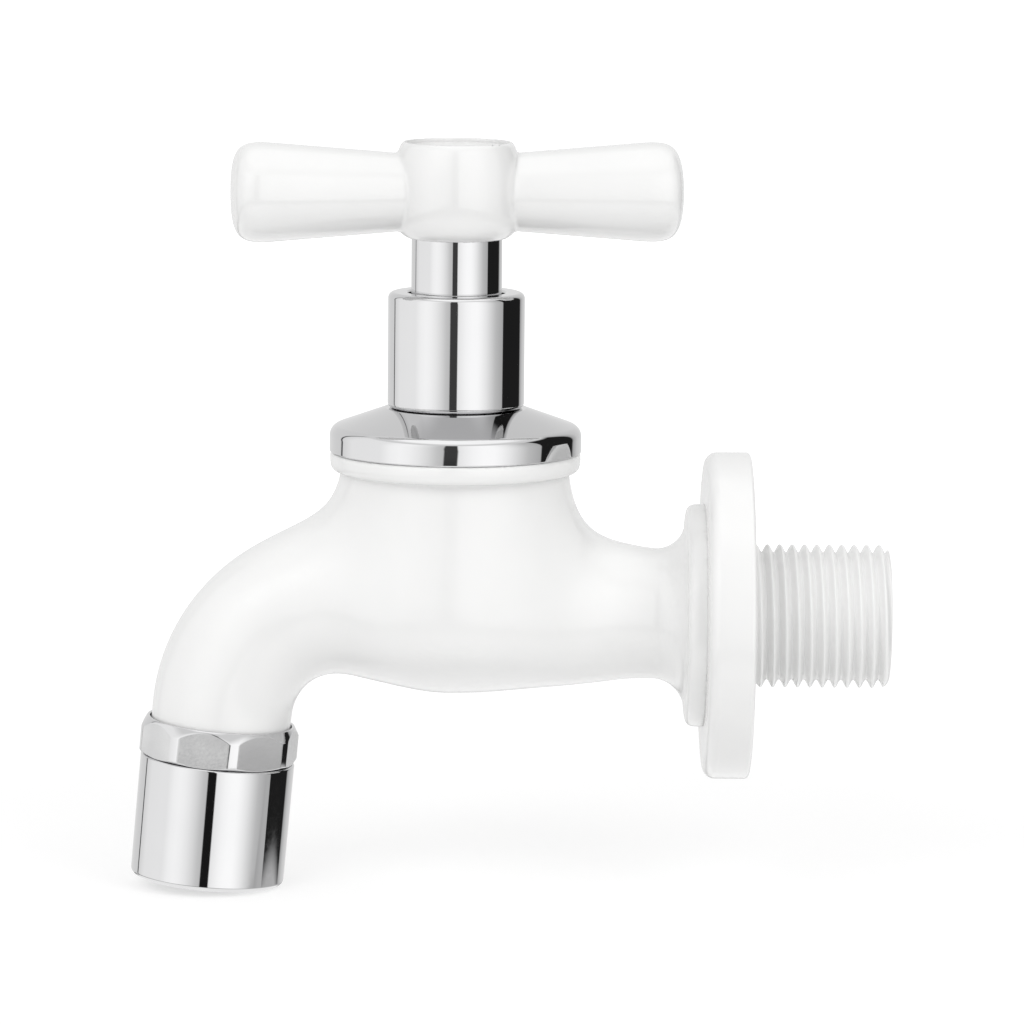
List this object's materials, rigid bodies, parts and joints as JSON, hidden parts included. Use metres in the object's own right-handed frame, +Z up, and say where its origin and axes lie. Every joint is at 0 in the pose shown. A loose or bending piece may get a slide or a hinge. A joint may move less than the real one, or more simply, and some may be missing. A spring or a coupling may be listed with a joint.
{
  "type": "bib tap",
  "caption": "Wall-mounted bib tap: white plastic body with a downturned spout, chromed bonnet and aerated nozzle, and a T-handle whose rising spindle lifts the valve off its seat.",
  "frame": {"origin": "centre of the wall face of the flange, on the inlet's axis", "axes": "+X into the wall along the inlet, -X towards the spout, +Z up along the stem"},
  "size_m": [0.1108, 0.0478, 0.1097],
  "materials": {
    "white_plastic": "smooth moulded gloss",
    "chrome_plate": "mirror chrome plate",
    "brass": "turned",
    "seal_rubber": "matt moulded rubber",
    "aerator_plastic": "satin moulded",
    "steel": "bright drawn"
  },
  "bodies": {
    "tap": {"tap_body": "white_plastic", "wall_flange": "white_plastic", "headwork": "brass", "bonnet_gasket": "seal_rubber", "packing_washer": "brass", "gland_packing": "seal_rubber", "gland_nut": "brass", "bonnet_disc": "chrome_plate", "bonnet_sleeve": "chrome_plate", "nozzle_nut": "chrome_plate", "nozzle_shell": "chrome_plate", "nozzle_washer": "seal_rubber", "aerator_cage": "aerator_plastic", "screen_spacer": "aerator_plastic", "outlet_grid": "aerator_plastic", "lower_screen": "steel", "upper_screen": "steel", "flow_disc": "aerator_plastic"},
    "valve": {"jumper_valve": "brass", "seat_washer": "seal_rubber", "washer_nut": "brass"},
    "handle_group": {"spindle": "brass", "handle_skirt": "chrome_plate", "handle": "white_plastic", "index_cap": "white_plastic", "screw_washer": "steel", "handle_screw": "steel"}
  },
  "joints": [
    {"name": "valve_lift", "type": "slide", "parent": "tap", "child": "valve", "axis": [0, 0, 1], "range_m": [0, 0.004]},
    {"name": "handle_turn", "type": "hinge", "parent": "valve", "child": "handle_group", "pos_m": [-0.0431, 0, 0.03], "axis": [0, 0, 1], "range_deg": [0, 720]}
  ],
  "couplings": [
    {"joint": "valve_lift", "follows": "handle_turn", "m_per_rad": 0.0003183}
  ]
}
